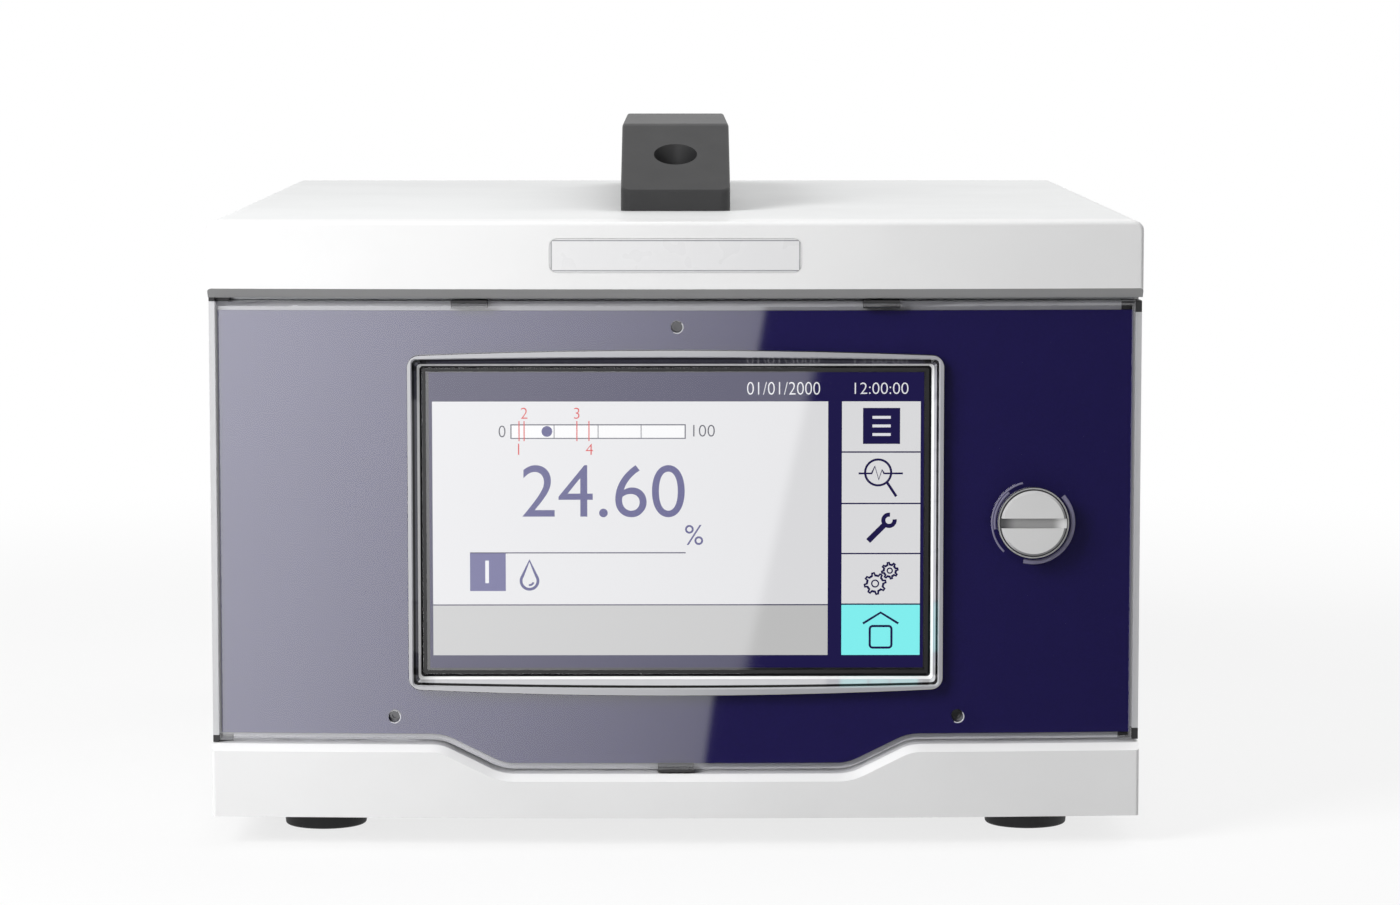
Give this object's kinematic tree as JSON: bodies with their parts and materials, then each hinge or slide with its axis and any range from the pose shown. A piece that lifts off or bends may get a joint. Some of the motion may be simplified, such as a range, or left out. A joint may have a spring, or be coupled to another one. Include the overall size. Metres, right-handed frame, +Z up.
{
  "type": "moisture analyzer",
  "caption": "Bench moisture analyzer in a white case with a carrying handle, a dark blue front door that holds a recessed touch screen and a coin latch, and sockets on the back.",
  "frame": {"origin": "on the bench, under the middle of the whole unit", "axes": "+X to the right as seen from the front, +Y from the front to the back, +Z up"},
  "size_m": [0.285, 0.344, 0.2187],
  "materials": {
    "white_case": "fine matt powder coat",
    "white_fascia": "satin moulding",
    "badge": "satin, bare",
    "clear_cover": "clear acrylic, polished",
    "navy_panel": "gloss dark blue",
    "door_grey": "satin moulding",
    "bezel": "gloss",
    "touch_glass": "polished",
    "display": "lit display",
    "black_plastic": "fine texture",
    "rubber": "matt",
    "handle_grey": "fine texture",
    "steel": "zinc plated",
    "chrome": "polished nickel",
    "brass": "plain",
    "board_green": "solder mask",
    "aluminium": "plain",
    "capacitor_blue": "shrink sleeve",
    "terminal_green": "satin",
    "fuse_glass": "glass tube"
  },
  "bodies": {
    "housing": {"upper_fascia": "white_fascia", "lower_fascia": "white_fascia", "badge_plate": "badge", "hinge_pins": "steel", "front_frame": "steel", "door_gasket": "rubber", "top_cover": "white_case", "base_tray": "white_case", "rear_panel": "white_case", "cover_screws": "steel", "panel_screws": "steel", "chassis_screws": "steel", "carrying_handle": "handle_grey", "handle_screws": "steel", "handle_nuts": "steel", "foot_front_left": "rubber", "foot_front_right": "rubber", "foot_rear_left": "rubber", "foot_rear_right": "rubber", "foot_screws": "steel", "main_board": "board_green", "power_supply_board": "board_green", "board_standoffs": "brass", "supply_transformer": "steel", "supply_capacitors": "capacitor_blue", "supply_heatsink": "aluminium", "power_inlet": "black_plastic", "inlet_pins": "brass", "probe_sockets": "chrome", "socket_inserts": "black_plastic", "socket_nuts": "chrome", "network_jack": "black_plastic", "service_port": "steel", "terminal_headers": "terminal_green", "terminal_plugs": "terminal_green", "earth_stud": "brass", "earth_nuts": "brass"},
    "door": {"clear_door_cover": "clear_cover", "inner_door_panel": "navy_panel", "door_frame": "door_grey", "door_screws": "steel", "door_clips": "black_plastic", "door_buffers": "rubber", "hinge_bushes": "black_plastic", "window_bezel": "bezel", "touch_glass": "touch_glass", "display_module": "display", "display_bracket": "steel", "display_standoffs": "brass", "display_board": "board_green", "display_screws": "steel", "latch_barrel": "chrome", "latch_barrel_nut": "chrome"},
    "latch": {"latch_plug": "chrome", "latch_cam": "steel", "latch_cam_nut": "steel"},
    "rocker": {"power_switch": "black_plastic"},
    "drawer": {"fuse_drawer": "black_plastic", "fuses": "fuse_glass"}
  },
  "joints": [
    {"name": "door_hinge", "type": "hinge", "parent": "housing", "child": "door", "pos_m": [-0.1397, -0.1578, 0.1], "axis": [0, 0, -1], "range_deg": [0, 100]},
    {"name": "latch_turn", "type": "hinge", "parent": "door", "child": "latch", "pos_m": [0.1094, -0.162, 0.0997], "axis": [0, 1, 0], "range_deg": [0, 90]},
    {"name": "power_switch_rock", "type": "hinge", "parent": "housing", "child": "rocker", "pos_m": [0.1, 0.1563, 0.082], "axis": [1, 0, 0], "range_deg": [0, 16]},
    {"name": "fuse_drawer_slide", "type": "slide", "parent": "housing", "child": "drawer", "axis": [0, 1, 0], "range_m": [0, 0.015]}
  ]
}
